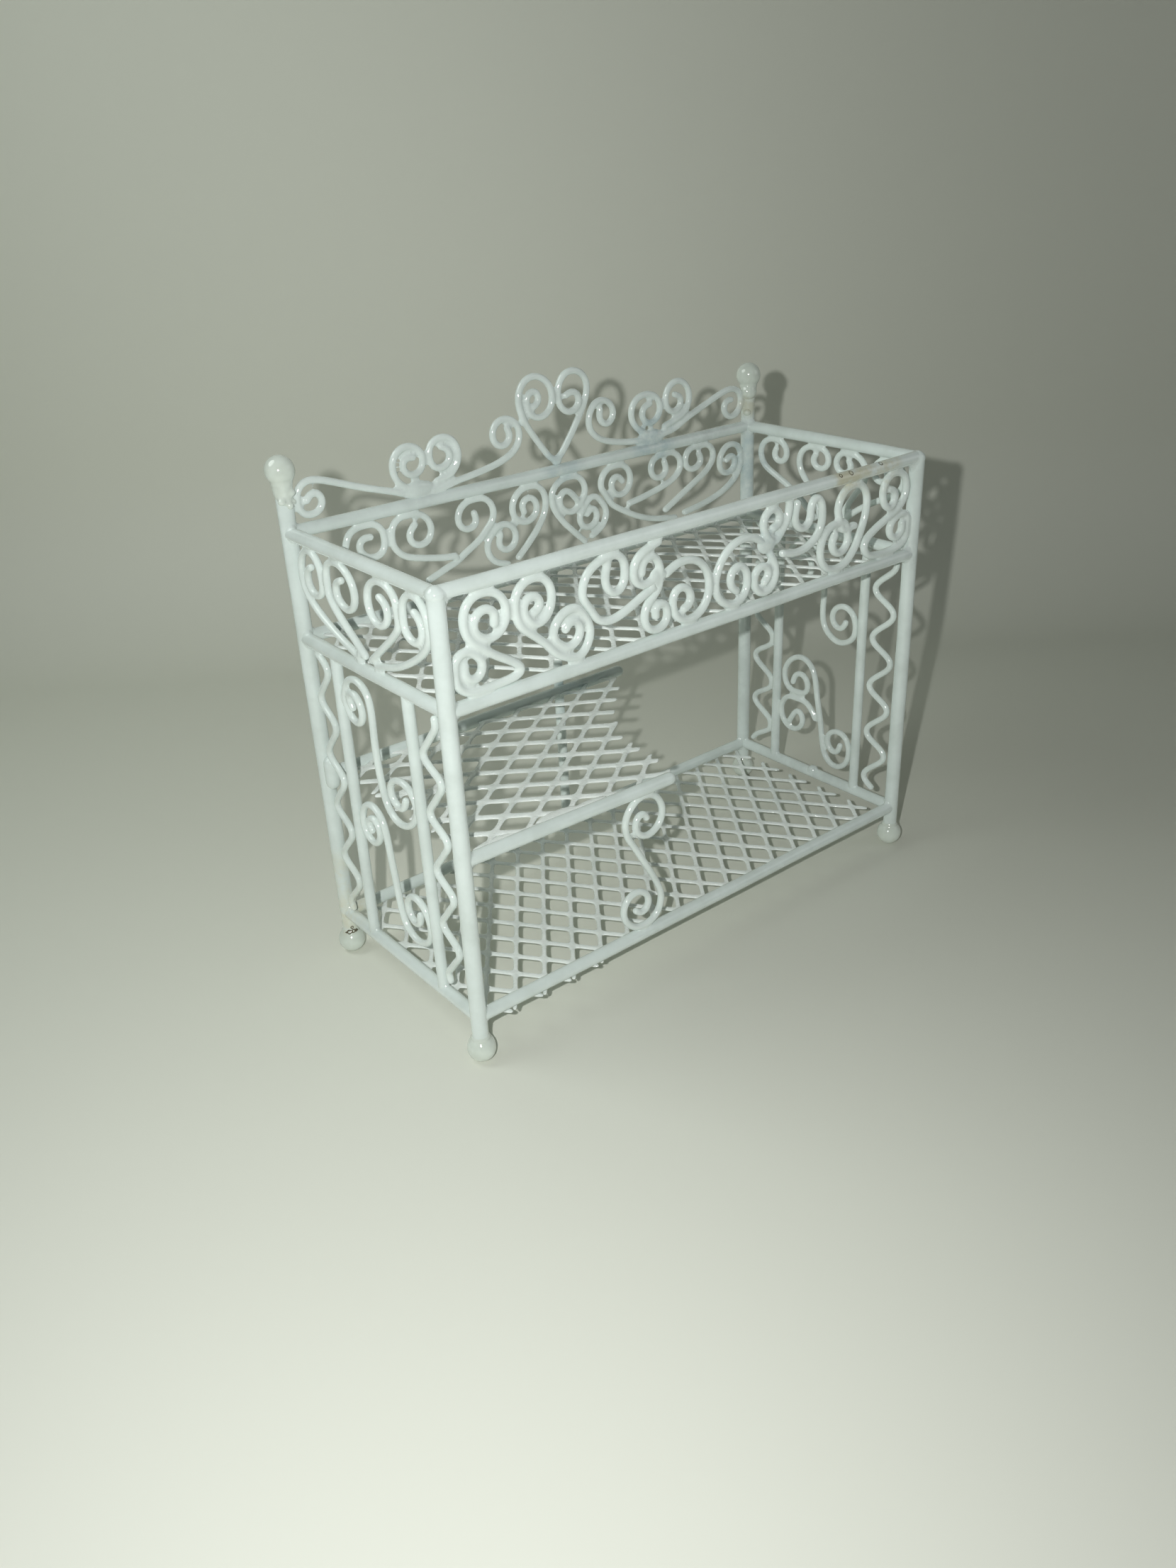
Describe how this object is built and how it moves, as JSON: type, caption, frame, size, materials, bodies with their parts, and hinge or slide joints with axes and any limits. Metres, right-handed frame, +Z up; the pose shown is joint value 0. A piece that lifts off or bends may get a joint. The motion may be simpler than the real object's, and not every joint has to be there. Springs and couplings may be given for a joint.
{
  "type": "miniature wirework changing table",
  "caption": "Dolls' house wirework nursery table: a scroll-galleried tray over a half-width middle shelf and a full base shelf of expanded metal mesh, on ball feet.",
  "frame": {"origin": "on the ground under the middle of the table, at the bottom centre of its bounding box", "axes": "+X to the table's right along its length, +Y to its back where the crest and finials are, +Z up"},
  "size_m": [0.1068, 0.0468, 0.0964],
  "materials": {
    "enamelled_frame": "glossy dipped white enamel with a faint green-grey cast",
    "enamelled_scroll": "glossy dipped white enamel, thick at the soldered joints",
    "enamelled_ball": "glossy dipped white enamel with small dark chips",
    "enamelled_mesh": "glossy white enamel over expanded metal, bright on the strands' edges"
  },
  "bodies": {
    "root": {"back_centre_bar": "enamelled_frame", "back_scroll_1": "enamelled_scroll", "back_scroll_2": "enamelled_scroll", "back_scroll_3": "enamelled_scroll", "back_scroll_4": "enamelled_scroll", "back_scroll_5": "enamelled_scroll", "base_mesh": "enamelled_mesh", "base_rail_back": "enamelled_frame", "base_rail_front": "enamelled_frame", "base_rail_left": "enamelled_frame", "base_rail_right": "enamelled_frame", "crest_heart": "enamelled_scroll", "crest_scroll_left": "enamelled_scroll", "crest_scroll_right": "enamelled_scroll", "finial_back_left": "enamelled_ball", "finial_back_right": "enamelled_ball", "foot_back_left": "enamelled_ball", "foot_back_right": "enamelled_ball", "foot_front_left": "enamelled_ball", "foot_front_right": "enamelled_ball", "front_scroll_1": "enamelled_scroll", "front_scroll_2": "enamelled_scroll", "front_scroll_3": "enamelled_scroll", "front_scroll_4": "enamelled_scroll", "front_scroll_5": "enamelled_scroll", "front_scroll_6": "enamelled_scroll", "front_scroll_7": "enamelled_scroll", "left_crooks_back": "enamelled_scroll", "left_crooks_front": "enamelled_scroll", "mid_shelf_mesh": "enamelled_mesh", "mid_shelf_rail_back": "enamelled_frame", "mid_shelf_rail_front": "enamelled_frame", "mid_shelf_support_scroll": "enamelled_scroll", "post_back_left": "enamelled_frame", "post_back_right": "enamelled_frame", "post_front_left": "enamelled_frame", "post_front_right": "enamelled_frame", "right_crooks_back": "enamelled_scroll", "right_crooks_front": "enamelled_scroll", "side_bar_left_back": "enamelled_frame", "side_bar_left_front": "enamelled_frame", "side_bar_right_back": "enamelled_frame", "side_bar_right_front": "enamelled_frame", "side_scroll_left_lower": "enamelled_scroll", "side_scroll_left_upper": "enamelled_scroll", "side_scroll_right_lower": "enamelled_scroll", "side_scroll_right_upper": "enamelled_scroll", "side_serpentine_left_back": "enamelled_scroll", "side_serpentine_left_front": "enamelled_scroll", "side_serpentine_right_back": "enamelled_scroll", "side_serpentine_right_front": "enamelled_scroll", "tray_floor_rail_back": "enamelled_frame", "tray_floor_rail_front": "enamelled_frame", "tray_floor_rail_left": "enamelled_frame", "tray_floor_rail_right": "enamelled_frame", "tray_mesh": "enamelled_mesh", "tray_top_rail_back": "enamelled_frame", "tray_top_rail_front": "enamelled_frame", "tray_top_rail_left": "enamelled_frame", "tray_top_rail_right": "enamelled_frame"}
  },
  "joints": []
}
